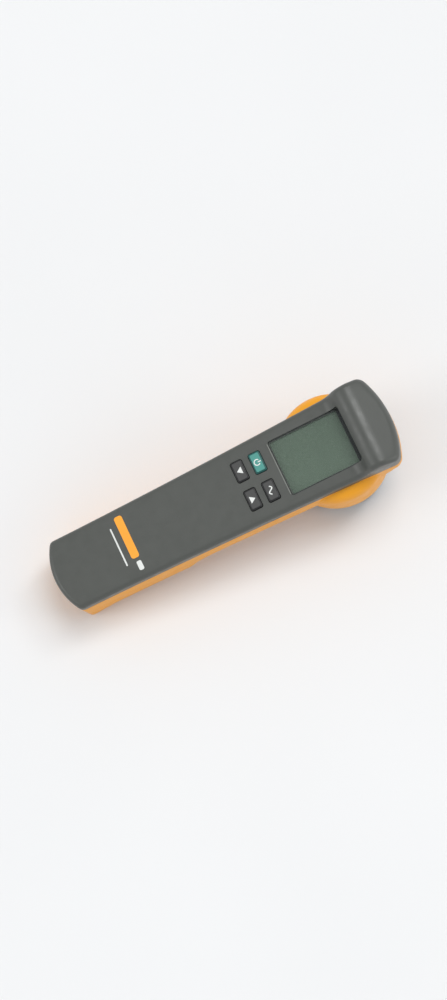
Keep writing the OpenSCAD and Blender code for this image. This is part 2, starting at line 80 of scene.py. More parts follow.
def add_object(name, bm, material, body="housing", sharp=35.0):
    """Makes a piece on a body from a bmesh in the instrument's own axes, and frees the bmesh."""
    bm.transform(to_frame)
    shade(bm, sharp)
    mesh = bpy.data.meshes.new(name)
    bm.to_mesh(mesh)
    bm.free()
    piece = bpy.data.objects.new(name, mesh)
    bpy.context.scene.collection.objects.link(piece)
    mesh.materials.append(material)
    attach(piece, body)
    return piece


def shade(bm, sharp):
    """Smooth shading over every edge that turns by less than sharp degrees."""
    bm.normal_update()
    for face in bm.faces:
        face.smooth = True
    for edge in bm.edges:
        edge.smooth = edge.is_manifold and edge.calc_face_angle(0.0) < math.radians(sharp)


def cad_copy(node):
    """A welded copy of a CAD node's mesh in the instrument's own axes, with its flat faces whole."""
    bm = bmesh.new()
    bm.from_mesh(frame["nodes"][node].data)
    bm.transform(to_device)
    bmesh.ops.remove_doubles(bm, verts=bm.verts, dist=0.002 * MM)
    bmesh.ops.dissolve_limit(bm, angle_limit=math.radians(0.6), verts=bm.verts, edges=bm.edges,
                             delimit={"NORMAL"})
    return bm


def soft_copy(node, name, material, body="housing", width=0.3 * MM, segments=2, sharp=35.0):
    """Puts a copy of a CAD node in its place, with every edge that turns by over 40 degrees rounded."""
    bm = cad_copy(node)
    edges = [e for e in bm.edges if e.is_manifold and e.calc_face_angle(0.0) > math.radians(40)]
    bmesh.ops.bevel(bm, geom=edges, offset=width, offset_type="OFFSET", segments=segments, profile=0.5,
                    affect="EDGES", clamp_overlap=True)
    piece = add_object(name, bm, material, body, sharp)
    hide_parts(node)


# ---- Materials ----

def linear(red, green, blue):
    """A colour of 0 to 255, as a display shows it, in the renderer's own scale."""
    def channel(value):
        value /= 255
        return value / 12.92 if value <= 0.04045 else ((value + 0.055) / 1.055) ** 2.4
    return (channel(red), channel(green), channel(blue), 1.0)


def scaled(colour, factor):
    return tuple(min(1.0, c * factor) for c in colour[:3]) + (1.0,)


# Places of a Mix node's two colours among its inputs, and of the mixed colour among its outputs
MIX_COLOURS = (6, 7)
MIX_RESULT = 2


class Surface:
    """A material's nodes: a shader, and textures laid out in the object's own metres."""

    def __init__(self, name):
        self.material = bpy.data.materials.new(name)
        self.material.use_nodes = True
        self.nodes = self.material.node_tree.nodes
        self.links = self.material.node_tree.links
        self.shader = self.nodes["Principled BSDF"]
        self.place = self.nodes.new("ShaderNodeTexCoord").outputs["Object"]

    def set(self, **values):
        """Values that are the same all over, set on the shader itself."""
        for name, value in values.items():
            self.shader.inputs[name.replace("_", " ")].default_value = value

    def noise(self, per_metre, detail=3.0, stretch=None):
        """Noise with that many cells to a metre, before any stretch along each axis."""
        texture = self.nodes.new("ShaderNodeTexNoise")
        texture.inputs["Scale"].default_value = per_metre
        texture.inputs["Detail"].default_value = detail
        texture.inputs["Roughness"].default_value = 0.55
        place = self.place
        if stretch:
            mapping = self.nodes.new("ShaderNodeMapping")
            mapping.inputs["Scale"].default_value = stretch
            self.links.new(place, mapping.inputs["Vector"])
            place = mapping.outputs["Vector"]
        self.links.new(place, texture.inputs["Vector"])
        return texture.outputs["Fac"]

    def span(self, value, low, high, start=0.3, end=0.7):
        """value, taken from between start and end to between low and high."""
        node = self.nodes.new("ShaderNodeMapRange")
        node.inputs["From Min"].default_value = start
        node.inputs["From Max"].default_value = end
        node.inputs["To Min"].default_value = low
        node.inputs["To Max"].default_value = high
        self.links.new(value, node.inputs["Value"])
        return node.outputs["Result"]

    def mix(self, factor, first, second):
        """A blend of two colours, each a plain colour or another node's output."""
        node = self.nodes.new("ShaderNodeMix")
        node.data_type = "RGBA"
        self.links.new(factor, node.inputs["Factor"])
        for index, colour in zip(MIX_COLOURS, (first, second)):
            if isinstance(colour, bpy.types.NodeSocket):
                self.links.new(colour, node.inputs[index])
            else:
                node.inputs[index].default_value = colour
        return node.outputs[MIX_RESULT]

    def colour(self, value):
        self.links.new(value, self.shader.inputs["Base Color"])

    def roughness(self, value):
        self.links.new(value, self.shader.inputs["Roughness"])

    def bump(self, height, depth, strength=1.0):
        """Relief of that depth in metres."""
        node = self.nodes.new("ShaderNodeBump")
        node.inputs["Strength"].default_value = strength
        node.inputs["Distance"].default_value = depth
        self.links.new(height, node.inputs["Height"])
        self.links.new(node.outputs["Normal"], self.shader.inputs["Normal"])

    def worn_and_highlit_edges(self, base, light, amount=0.5):
        """Lighter where the surface turns outwards: edges worn pale by rubbing, and a painted highlight
        along them.
        """
        point = self.nodes.new("ShaderNodeNewGeometry").outputs["Pointiness"]
        rubbed_and_highlit = self.span(point, 0.0, amount, 0.52, 0.62)
        return self.mix(rubbed_and_highlit, base, light)


def plastic(name, colour, rough, grain=0.03 * MM, per_metre=2600, wear_and_highlight=0.35, tone_change=0.05):
    """Moulded plastic with a spark-eroded grain, faint tone changes and, when asked for, edges lightened
    partly by rubbing and partly as a painted highlight.
    """
    s = Surface(name)
    darker, lighter = scaled(colour, 1 - tone_change), scaled(colour, 1 + tone_change)
    tone = s.mix(s.span(s.noise(45, 4), 0, 1), darker, lighter)
    if wear_and_highlight:
        # Edges painted lighter: partly worn by rubbing, partly a painted edge highlight
        tone = s.worn_and_highlit_edges(tone, scaled(colour, 1.5), wear_and_highlight)
    s.colour(tone)
    s.roughness(s.span(s.noise(220, 4), rough - 0.07, rough + 0.08))
    s.set(IOR=1.49)
    if grain:
        s.bump(s.noise(per_metre, 2), grain)
    return s.material


def rubber(name, colour, rough=0.75):
    """Matt rubber with a cloudy tone and a fine grain."""
    s = Surface(name)
    s.colour(s.mix(s.span(s.noise(160, 5), 0, 1), scaled(colour, 0.8), scaled(colour, 1.3)))
    s.roughness(s.span(s.noise(400, 3), rough - 0.1, rough + 0.1))
    s.bump(s.noise(3200, 2), 0.02 * MM)
    return s.material


def metal(name, colour, rough, brushed=(1, 1, 30)):
    """Metal with streaks in its tone, gloss and relief, drawn out by brushing along each axis."""
    s = Surface(name)
    streaks = s.noise(400, 4, stretch=brushed)
    s.colour(s.mix(s.span(streaks, 0, 1), scaled(colour, 0.85), scaled(colour, 1.08)))
    s.roughness(s.span(streaks, rough - 0.06, rough + 0.1))
    s.set(Metallic=1.0)
    s.bump(streaks, 0.01 * MM, 0.5)
    return s.material


def clear(name, colour, opacity, rough=0.05):
    """Clear plastic, thin enough that what lies under it is seen straight through."""
    s = Surface(name)
    s.colour(s.mix(s.span(s.noise(30, 2), 0, 1), scaled(colour, 0.96), colour))
    s.roughness(s.span(s.noise(90, 4), rough, rough + 0.06))
    s.set(IOR=1.49, Alpha=opacity)
    return s.material


def circuit_board(name, colour):
    """Solder mask over copper tracks, which show as slightly raised paler lines."""
    s = Surface(name)
    brick = s.nodes.new("ShaderNodeTexBrick")
    brick.inputs["Scale"].default_value = 260
    brick.inputs["Mortar Size"].default_value = 0.035
    s.links.new(s.place, brick.inputs["Vector"])
    tracks = brick.outputs["Fac"]
    s.colour(s.mix(tracks, colour, scaled(colour, 1.8)))
    s.roughness(s.span(s.noise(300, 3), 0.3, 0.42))
    s.bump(tracks, 0.02 * MM)
    return s.material


GREY = linear(78, 80, 76)
YELLOW = linear(238, 160, 20)
grey_plastic = plastic("grey plastic", GREY, 0.36, tone_change=0.03, wear_and_highlight=0)
yellow_plastic = plastic("yellow plastic", YELLOW, 0.4, tone_change=0.03, wear_and_highlight=0)
black_plastic = plastic("black plastic", linear(26, 26, 28), 0.42)
trigger_plastic = plastic("trigger plastic", linear(24, 24, 26), 0.5, grain=0.05 * MM)
key_teal = plastic("teal key", linear(24, 82, 78), 0.4, grain=0.012 * MM)
key_dark = plastic("dark key", linear(26, 26, 27), 0.42, grain=0.012 * MM)
teal_top = plastic("teal key top", linear(74, 148, 138), 0.45, grain=0.012 * MM, wear_and_highlight=0)
dark_top = plastic("dark key top", linear(66, 66, 65), 0.45, grain=0.012 * MM, wear_and_highlight=0)
# Pale grey for the thin strip along the window: a painted highlight where the recess's tail edge catches the
# light
pale_highlight_paint = plastic("pale strip painted as highlight", linear(128, 130, 124), 0.4, grain=0.01 * MM, wear_and_highlight=0)
print_white = plastic("white print", linear(226, 228, 224), 0.5, grain=0.01 * MM, wear_and_highlight=0)
# Dark print, also used as painted shadow under the brow
dark_print_and_shadow = plastic("dark print and painted shadow", linear(24, 26, 28), 0.4, grain=0.01 * MM, wear_and_highlight=0)
print_amber = plastic("amber print", linear(250, 166, 48), 0.5, grain=0.01 * MM, wear_and_highlight=0)
chip_plastic = plastic("chip epoxy", linear(26, 26, 28), 0.55)
white_plastic = plastic("white plastic", linear(226, 226, 218), 0.45)
seal_rubber = rubber("seal rubber", linear(34, 34, 35))
membrane_rubber = rubber("keypad silicone", linear(60, 60, 62), 0.6)
steel = metal("spring steel", linear(190, 190, 194), 0.28)
screw_steel = metal("screw steel", linear(96, 96, 98), 0.35, (1, 1, 1))
aluminium = metal("sink aluminium", linear(196, 198, 202), 0.35)
ferrite = rubber("ferrite", linear(62, 62, 66), 0.6)
wire_red = plastic("wire insulation", linear(170, 28, 24), 0.4, grain=0)
sleeve_blue = plastic("capacitor sleeve", linear(34, 44, 92), 0.35, grain=0)
green_board = circuit_board("green solder mask", linear(24, 92, 48))
white_board = circuit_board("white solder mask", linear(226, 226, 222))
lens_clear = clear("lens polycarbonate", (0.80, 0.88, 0.92, 1.0), 0.22)
window_clear = clear("window acrylic", (0.16, 0.19, 0.17, 1.0), 0.12)
silvered = metal("metallised reflector", linear(222, 224, 228), 0.1, (1, 1, 1))
phosphor = plastic("led phosphor", linear(236, 214, 96), 0.3, grain=0)


def lcd_face():
    """Unlit liquid crystal: grey green with a slow change of tone and a faint pixel grid."""
    s = Surface("unlit lcd")
    broad = s.span(s.noise(18, 2), 0, 1)
    tone = s.mix(broad, linear(90, 110, 92), linear(98, 118, 100))
    grid = s.nodes.new("ShaderNodeTexBrick")
    grid.offset = 0.0
    grid.inputs["Scale"].default_value = 900
    grid.inputs["Mortar Size"].default_value = 0.03
    grid.inputs["Brick Width"].default_value = 0.5
    grid.inputs["Row Height"].default_value = 0.5
    s.links.new(s.place, grid.inputs["Vector"])
    s.colour(s.mix(s.span(grid.outputs["Fac"], 0, 0.12, 0, 1), tone, linear(66, 80, 68)))
    s.roughness(s.span(s.noise(120, 3), 0.22, 0.3))
    return s.material


lcd_grey = lcd_face()


def cell_sleeve():
    """A cell's dark foil sleeve, without any print."""
    s = Surface("cell sleeve")
    s.colour(s.mix(s.span(s.noise(60, 3), 0, 1), linear(40, 42, 46), linear(58, 60, 66)))
    s.roughness(s.span(s.noise(200, 3), 0.22, 0.34))
    s.set(Metallic=0.6)
    return s.material


sleeve = cell_sleeve()

CAD_MATERIALS = {
    "lens_seal": seal_rubber, "led_board": white_board, "heat_sink": aluminium, "lamp_lead": wire_red,
    "main_board": green_board, "processor": chip_plastic, "driver_coil": ferrite,
    "reservoir_capacitor": sleeve_blue, "lcd_glass": lcd_grey, "lcd_backlight": white_plastic,
    "lcd_frame": white_plastic, "lcd_connectors": seal_rubber, "keypad_membrane": membrane_rubber,
    "dome_switches": steel, "trigger_pin": steel, "trigger_spring": steel, "trigger_switch": chip_plastic,
    "cell_1": sleeve, "cell_2": sleeve, "cell_3": sleeve, "cell_spring_1": steel, "cell_spring_2": steel,
    "cell_spring_3": steel, "tail_contact": steel, "head_contact": steel, "battery_lead": wire_red,
    "case_screws": screw_steel, "board_screws": steel,
}
for node, material in CAD_MATERIALS.items():
    mesh = frame["nodes"][node].data
    mesh.materials.clear()
    mesh.materials.append(material)


# ---- Shells ----

front_low, front_high = extent("front_shell")
bezel_low, bezel_high = extent("lamp_bezel")
door_low, door_high = extent("battery_door")
window_low, window_high = extent("display_window")

# From the frame, with x from the tail and heights from the front of the lamp
LENGTH = front_high.x
SEAM_HEIGHT = front_low.z
CREST_HEIGHT = front_high.z - 0.02 * MM
LAMP_X = (bezel_low.x + bezel_high.x) / 2
HOUSING_RADIUS = extent("rear_shell")[1].y
BAY_BACK = door_low.z

# The CAD model's own dimensions that the frame doesn't tell, and the exponent of its sides' curve
FACE_HEIGHT = 52.4 * MM
HEAD_HALF = 23.9 * MM
TAIL_HALF = 19.3 * MM
HEAD_RADIUS = 53 * MM
TAIL_RADIUS = 34.5 * MM
WALL = 2.2 * MM
BROW_X = 175 * MM
BROW_RADIUS = 8 * MM
BROW_SLOPE = math.radians(60)
END_SLOPE = math.radians(30)
GRIP_BACK = 25 * MM
STEP_X = 64.5 * MM
SIDE_CURVE = 1.7
RAMP_RADIUS = (CREST_HEIGHT - FACE_HEIGHT) / (1 - math.cos(BROW_SLOPE)) - BROW_RADIUS
RAMP_X = BROW_X - (RAMP_RADIUS + BROW_RADIUS) * math.sin(BROW_SLOPE)

# The softer shapes that only the visual shells have, and the turn in degrees that shades as an edge
CROWN = 0.45 * MM
FACE_EDGE = 2.6 * MM
SEAM_EDGE = 0.3 * MM
LEAST_EDGE = 0.4 * MM
TAIL_CORNER = 1.8 * MM
HEAD_CORNER = 3.4 * MM
STEP_RUN = 7 * MM
HEEL_EDGE = 3.3 * MM
GRIP_EDGE_GAIN = 4.2 * MM
SHELL_SHARP = 32.0

# How far a cutter reaches past what it cuts, and how far the inner ribs run into the skin
PAST = 1 * MM
PAST_TAIL = -10 * MM
OVERLAP = 0.1 * MM


def face_line(x):
    """Height of the face above the lamp's front, along the middle."""
    if x < RAMP_X:
        return FACE_HEIGHT
    knee = BROW_X - BROW_RADIUS * math.sin(BROW_SLOPE)
    if x < knee:
        return FACE_HEIGHT + RAMP_RADIUS - math.sqrt(RAMP_RADIUS ** 2 - (x - RAMP_X) ** 2)
    turn = BROW_X + BROW_RADIUS * math.sin(END_SLOPE)
    if x < turn:
        return CREST_HEIGHT - BROW_RADIUS + math.sqrt(BROW_RADIUS ** 2 - (x - BROW_X) ** 2)
    return (CREST_HEIGHT - BROW_RADIUS * (1 - math.cos(END_SLOPE))) - (x - turn) * math.tan(END_SLOPE)


def eased(value):
    """0 to 1 with a level start and end."""
    value = min(1.0, max(0.0, value))
    return value * value * (3 - 2 * value)


def back_line(x):
    """Height of the handle's back: the battery bay, then a soft step up to the grip."""
    return BAY_BACK + (GRIP_BACK - BAY_BACK) * eased((x - STEP_X) / STEP_RUN)


def back_round(x):
    """Radius of the handle's back edges, tighter round the heel."""
    heel_end, change = 6 * MM, 16 * MM
    return HEEL_EDGE + GRIP_EDGE_GAIN * eased((x - heel_end) / change)


def side_half(x):
    """Half of the width at x: nearly straight along the handle, and spreading toward the head."""
    return TAIL_HALF + (HEAD_HALF - TAIL_HALF) * (max(x, 0.0) / LENGTH) ** SIDE_CURVE


def stations():
    """Places round half of the outline, from the middle of the tail to the middle of the head, each with
    the share of its stretch that lies behind it. They stand closer along the side of the brow."""
    handle, brow = 0.78, 0.22
    spots = [("tail", i / 12) for i in range(12)]
    spots += [("tail corner", i / 6) for i in range(6)]
    spots += [("side", i / 22 * handle) for i in range(22)]
    spots += [("side", handle + i / 34 * brow) for i in range(34)]
    spots += [("head corner", i / 6) for i in range(6)]
    return spots + [("head", i / 14) for i in range(15)]


def outline_point(station, inset):
    """x and y of a station on the outline, moved in by inset."""
    part, along_part = station
    tail_r, head_r = TAIL_RADIUS - inset, HEAD_RADIUS - inset
    # Where the end arcs would meet the sides, closed in on from a first guess
    tail_x, head_x = 0.03 * LENGTH, 0.97 * LENGTH
    for _ in range(5):
        tail_x = TAIL_RADIUS - math.sqrt(tail_r ** 2 - (side_half(tail_x) - inset) ** 2)
        head_x = LENGTH - HEAD_RADIUS + math.sqrt(head_r ** 2 - (side_half(head_x) - inset) ** 2)
    tail_y, head_y = side_half(tail_x) - inset, side_half(head_x) - inset
    tail_reach = max(LEAST_EDGE, TAIL_CORNER - 0.6 * inset)
    head_reach = max(LEAST_EDGE, HEAD_CORNER - 0.75 * inset)
    tail_turn = math.asin(tail_y / tail_r) - tail_reach / tail_r
    head_turn = math.asin(head_y / head_r) - head_reach / head_r

    def tail_arc(angle):
        return Vector((TAIL_RADIUS - tail_r * math.cos(angle), tail_r * math.sin(angle)))

    def head_arc(angle):
        return Vector((LENGTH - HEAD_RADIUS + head_r * math.cos(angle), head_r * math.sin(angle)))

    def side(x):
        return Vector((x, side_half(x) - inset))

    def corner(first, tip, last, t):
        return first * (1 - t) ** 2 + tip * (2 * t * (1 - t)) + last * t ** 2

    if part == "tail":
        return tail_arc(tail_turn * along_part)
    if part == "tail corner":
        return corner(tail_arc(tail_turn), Vector((tail_x, tail_y)), side(tail_x + tail_reach), along_part)
    if part == "side":
        return side(tail_x + tail_reach + (head_x - head_reach - tail_x - tail_reach) * along_part)
    if part == "head corner":
        return corner(side(head_x - head_reach), Vector((head_x, head_y)), head_arc(head_turn), along_part)
    return head_arc(head_turn * (1 - along_part))


def loft(inset, top, top_round, low, low_round, crown=0.0, until=None):
    """A closed solid inside the outline, between two height lines, with rounded upper and lower edges."""
    edge_steps, across_steps = 6, 9
    inset_top = inset if top is face_line else 0.0
    inset_low = inset if low is back_line else 0.0

    def top_height(x, y, drop=0.0):
        return top(x) - inset_top - crown * (y / TAIL_HALF) ** 2 - drop

    bm = bmesh.new()
    rings = []
    for spot in stations():
        if until is not None and outline_point(spot, 0).x >= until:
            continue
        x0 = outline_point(spot, inset).x
        half = []
        for k in range(edge_steps + 1):
            angle = math.pi / 2 * k / edge_steps
            r = top_round(x0)
            x, y = outline_point(spot, inset + r * (1 - math.sin(angle)))
            half.append((x, y, top_height(x, y, r * (1 - math.cos(angle)))))
        for k in range(edge_steps + 1):
            angle = math.pi / 2 * (edge_steps - k) / edge_steps
            r = low_round(x0)
            x, y = outline_point(spot, inset + r * (1 - math.sin(angle)))
            half.append((x, y, low(x) + inset_low + r * (1 - math.cos(angle))))
        shares = [1 - 2 * i / (across_steps + 1) for i in range(1, across_steps + 1)]
        first, last = half[0], half[-1]
        loop = half[::-1]
        loop += [(first[0], first[1] * t, top_height(first[0], first[1] * t)) for t in shares]
        loop += [(x, -y, z) for x, y, z in half]
        loop += [(last[0], -last[1] * t, low(last[0]) + inset_low) for t in shares]
        rings.append([bm.verts.new(p) for p in loop])
    bridge(bm, rings)
    if until is not None:
        bm.faces.new(rings[-1])
    bmesh.ops.remove_doubles(bm, verts=bm.verts, dist=0.001 * MM)
    bmesh.ops.dissolve_degenerate(bm, edges=bm.edges, dist=0.0005 * MM)
    bmesh.ops.recalc_face_normals(bm, faces=bm.faces)
    return bm


def bridge(bm, rings):
    """Faces between each ring of corners and the next."""
    for one, other in zip(rings, rings[1:]):
        for i in range(len(one)):
            j = (i + 1) % len(one)
            corners = list(dict.fromkeys((one[i], one[j], other[j], other[i])))
            bm.faces.new(corners)


def lathe(profile, axis_x, segments=96):
    """A closed solid of revolution about an upright axis, from (radius, height) points that begin and end
    on the axis."""
    bm = bmesh.new()
    rings = []
    for r, z in profile:
        if r == 0:
            rings.append([bm.verts.new((axis_x, 0, z))] * segments)
        else:
            rings.append([bm.verts.new((axis_x + r * math.cos(2 * math.pi * i / segments),
                                        r * math.sin(2 * math.pi * i / segments), z))
                          for i in range(segments)])
    bridge(bm, rings)
    bmesh.ops.recalc_face_normals(bm, faces=bm.faces)
    return bm


def arc_points(x, z, r, start, end, steps):
    """Points on an arc in (radius, height), with angles in degrees from straight up toward larger radius."""
    angles = [math.radians(start + (end - start) * i / steps) for i in range(steps + 1)]
    return [(x + r * math.sin(a), z + r * math.cos(a)) for a in angles]


def block(low, high):
    """A plain block between two corners."""
    bm = bmesh.new()
    bmesh.ops.create_cube(bm, size=1.0)
    size = [h - l for l, h in zip(low, high)]
    bm.transform(Matrix.Translation([(l + h) / 2 for l, h in zip(low, high)]) @ Matrix.Diagonal((*size, 1)))
    return bm


def prism(outline, low, high):
    """An upright solid on an outline of points, in order round it."""
    bm = bmesh.new()
    lower = [bm.verts.new((p[0], p[1], low)) for p in outline]
    upper = [bm.verts.new((p[0], p[1], high)) for p in outline]
    bm.faces.new(reversed(lower))
    bm.faces.new(upper)
    for i in range(len(outline)):
        j = (i + 1) % len(outline)
        bm.faces.new((lower[i], lower[j], upper[j], upper[i]))
    bmesh.ops.recalc_face_normals(bm, faces=bm.faces)
    return bm


def rounded_block(low, high, r, steps=5):
    """An upright block with rounded vertical edges."""
    edge = []
    for cx, cy, start in ((high[0] - r, high[1] - r, 0), (low[0] + r, high[1] - r, 90),
                          (low[0] + r, low[1] + r, 180), (high[0] - r, low[1] + r, 270)):
        for i in range(steps + 1):
            a = math.radians(start + 90 * i / steps)
            edge.append((cx + r * math.cos(a), cy + r * math.sin(a)))
    return prism(edge, low[2], high[2])


def stroke(points, width):
    """The outline of a stroke along points."""
    points = [Vector(p) for p in points]
    one, other = [], []
    for i, p in enumerate(points):
        way = (points[min(i + 1, len(points) - 1)] - points[max(i - 1, 0)]).normalized()
        side = Vector((-way.y, way.x)) * width / 2
        one.append(p + side)
        other.append(p - side)
    return one + other[::-1]


def combine(base, other, operation):
    """base joined with, cut by or limited to other, which is used up."""
    holders = []
    for bm in (base, other):
        mesh = bpy.data.meshes.new("part")
        bm.to_mesh(mesh)
        bm.free()
        holder = bpy.data.objects.new("part", mesh)
        bpy.context.scene.collection.objects.link(holder)
        holders.append(holder)
    modifier = holders[0].modifiers.new("join", "BOOLEAN")
    modifier.operation = operation
    modifier.solver = "EXACT"
    modifier.object = holders[1]
    graph = bpy.context.evaluated_depsgraph_get()
    result = bmesh.new()
    result.from_mesh(holders[0].evaluated_get(graph).to_mesh())
    for holder in holders:
        mesh = holder.data
        bpy.data.objects.remove(holder)
        bpy.data.meshes.remove(mesh)
    return result


def cut(base, *cutters):
    """base with every cutter taken away from it."""
    for cutter in cutters:
        base = combine(base, cutter.copy(), "DIFFERENCE")
    return base


def gather(base, other):
    """base with other's closed mesh beside it in the same piece."""
    mesh = bpy.data.meshes.new("part")
    other.to_mesh(mesh)
    other.free()
    base.from_mesh(mesh)
    bpy.data.meshes.remove(mesh)
    return base


def shell(node, skin, core, openings):
    """skin with its openings cut, and the CAD node's inner ribs and bosses where they lie inside core."""
    return gather(cut(skin, *openings), combine(cad_copy(node), core, "INTERSECT"))


def seam(x):
    """Radius of the edges along the seam, the same all round."""
    return SEAM_EDGE


def front_solid(inset, reach=0.0):
    """The face shell's outer form, moved in by inset and reaching below the seam."""
    return loft(inset, face_line, lambda x: max(LEAST_EDGE, FACE_EDGE - inset),
                lambda x: SEAM_HEIGHT - reach, seam, crown=CROWN)


def front_housing():
    """The grey face shell, with the window's recess and through opening and the keys' openings."""
    above = CREST_HEIGHT + 5 * MM

    def opening(low, high, floor_height, margin, corner):
        return rounded_block((low.x + margin, low.y + margin, floor_height),
                             (high.x - margin, high.y - margin, above), corner)

    openings = [opening(window_low, window_high, window_low.z, -0.1 * MM, 1.5 * MM),
                opening(window_low, window_high, SEAM_HEIGHT, 0.7 * MM, 1.0 * MM)]
    openings += [opening(*extent(name), SEAM_HEIGHT, 0.4 * MM, 1.2 * MM) for name in KEYS]
    skin = cut(front_solid(0.0), front_solid(WALL, PAST))
    bm = shell("front_shell", skin, front_solid(WALL - OVERLAP, PAST), openings)
    piece = add_object("front_housing", bm, grey_plastic, sharp=SHELL_SHARP)
    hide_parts("front_shell")


def handle_solid(inset, reach=0.0):
    """The handle under the seam, from the tail until it is well inside the lamp housing."""
    least_edge, end = 0.6 * MM, LAMP_X - 6 * MM
    return loft(inset, lambda x: SEAM_HEIGHT + reach, seam, back_line,
                lambda x: max(least_edge, back_round(x) - inset), until=end)


def lamp_solid(inset):
    """The round lamp housing: it swells from the bezel to its waist and ends in a rounded shoulder."""
    steps, fullness = 10, 1.15
    mouth = bezel_high.y + 0.5 * MM - inset
    widest = HOUSING_RADIUS - inset
    shoulder = 7 * MM - inset
    mouth_height = bezel_high.z + inset
    roof = SEAM_HEIGHT - inset
    waist = 24 * MM
    lower = [(mouth + (widest - mouth) * math.sin(math.pi / 2 * i / steps) ** fullness,
              mouth_height + (waist - mouth_height) * i / steps) for i in range(steps + 1)]
    upper = arc_points(widest - shoulder, roof - shoulder, shoulder, 90, 0, steps)
    return lathe([(0, mouth_height)] + lower + upper + [(0, roof)], LAMP_X)


def flare_solid(inset):
    """The head's rim, drawn in under the outline until it meets the round housing."""
    steps, blend = 14, 1.2 * MM
    start_x, base = LAMP_X - 4 * MM, 28 * MM
    cone_foot, step_in = 30 * MM, 0.6 * MM
    edge = [outline_point(s, inset) for s in stations()]
    ends = [p for p in edge if p.x > start_x]
    loop = [(p.x - LAMP_X, p.y) for p in ends] + [(p.x - LAMP_X, -p.y) for p in reversed(ends[:-1])]
    levels = [SEAM_HEIGHT + (inset > 0) * PAST, SEAM_HEIGHT - SEAM_EDGE * 0.99]
    levels += [SEAM_HEIGHT - (SEAM_HEIGHT - base) * i / steps for i in range(1, steps + 1)]
    bm = bmesh.new()
    rings = []
    for index, z in enumerate(levels):
        # A cone that widens by 45 degrees upward, joined smoothly with the outline at its own radius
        cone = HOUSING_RADIUS - inset - step_in + (z - cone_foot)
        ring = []
        for x, y in loop:
            far = math.hypot(x, y)
            near = far - (SEAM_EDGE if index == 0 and not inset else 0)
            h = min(1.0, max(0.0, 0.5 + 0.5 * (cone - near) / blend))
            r = near * h + cone * (1 - h) - blend * h * (1 - h)
            ring.append(bm.verts.new((LAMP_X + x * r / far, y * r / far, z)))
        rings.append(ring)
    bridge(bm, rings)
    bm.faces.new(rings[0])
    bm.faces.new(rings[-1])
    bmesh.ops.recalc_face_normals(bm, faces=bm.faces)
    return bm


def rear_solid(inset, reach=0.0):
    """The rear shell's outer form, moved in by inset, with the handle reaching above the seam."""
    body = combine(handle_solid(inset, reach), lamp_solid(inset), "UNION")
    return combine(body, flare_solid(inset), "UNION")


def mouth_solid(reach):
    """Where the lamp's room opens upward, inside the face shell's walls."""
    low = 34 * MM
    radius, top = HOUSING_RADIUS - WALL, SEAM_HEIGHT + 2 * reach
    inside = loft(WALL, lambda x: SEAM_HEIGHT + reach, seam, lambda x: low, seam)
    tube = lathe([(0, low), (radius, low), (radius, top), (0, top)], LAMP_X)
    return combine(inside, tube, "INTERSECT")


def case_screw_wells():
    """The wells that the case screws' heads sit in, found from the screws."""
    radius, head_height, segments = 2.7 * MM, 2 * MM, 32
    screws = cad_copy("case_screws")
    spots = [v.co.copy() for v in screws.verts]
    screws.free()
    wells = []
    for near_head in (False, True):
        ours = [p for p in spots if (p.x > LENGTH / 2) == near_head and p.y > 0]
        x = (min(p.x for p in ours) + max(p.x for p in ours)) / 2
        y = (min(p.y for p in ours) + max(p.y for p in ours)) / 2
        seat = min(p.z for p in ours) + head_height
        for side in (-1, 1):
            well = lathe([(0, 0), (radius, 0), (radius, seat), (0, seat)], x, segments)
            well.transform(Matrix.Translation((0, side * y, 0)))
            wells.append(well)
    return wells


def rear_housing():
    """The yellow shell, with openings for the case screws, the battery door, the trigger and the lens."""
    play = 0.3 * MM
    trigger_low, trigger_high = extent("trigger")
    lens_radius, lens_top = 19.5 * MM, 12 * MM
    door_opening = block((PAST_TAIL, door_low.y - play, 0),
                         (door_high.x + play, door_high.y + play, BAY_BACK + 2.5 * MM))
    trigger_slot = block((trigger_low.x - 1.1 * MM, trigger_low.y - play, GRIP_BACK - 2 * MM),
                         (trigger_high.x + play, trigger_high.y + play, GRIP_BACK + WALL + PAST))
    lens_opening = lathe([(0, 0), (lens_radius, 0), (lens_radius, lens_top), (0, lens_top)], LAMP_X)
    skin = cut(rear_solid(0.0), rear_solid(WALL, PAST), mouth_solid(PAST))
    openings = case_screw_wells() + [door_opening, trigger_slot, lens_opening]
    bm = shell("rear_shell", skin, rear_solid(WALL - OVERLAP), openings)
    piece = add_object("rear_housing", bm, yellow_plastic, sharp=SHELL_SHARP)
    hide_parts("rear_shell")


def bay_door():
    """The part of the handle's skin over the cells, with the CAD door's tabs behind it and a ribbed grip."""
    grooves, pitch, first_groove = 6, 2.4, 8
    radius, half = 0.6 * MM, 8 * MM
    plate = block((PAST_TAIL, door_low.y, 0), (door_high.x, door_high.y, BAY_BACK + 2.2 * MM))
    behind = block((0, -LENGTH, BAY_BACK + 2.0 * MM), (LENGTH, LENGTH, LENGTH))
    skin = combine(handle_solid(0.0), plate, "INTERSECT")
    tabs = combine(cad_copy("battery_door"), behind, "INTERSECT")
    bm = combine(skin, tabs, "UNION")
    for i in range(grooves):
        bar = lathe([(0, -half), (radius, -half), (radius, half), (0, half)], 0, 24)
        bar.transform(Matrix.Translation((door_high.x - (first_groove + pitch * i) * MM, 0, BAY_BACK))
                      @ Matrix.Rotation(math.pi / 2, 4, "X"))
        bm = combine(bm, bar, "DIFFERENCE")
    piece = add_object("bay_door", bm, yellow_plastic, "battery_door", sharp=SHELL_SHARP)
    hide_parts("battery_door")


# ---- Keys, printed marks and the window's border ----

KEYS = {"power_key": key_teal, "mode_key": key_dark, "down_key": key_dark, "up_key": key_dark}
PRINT = 0.05 * MM


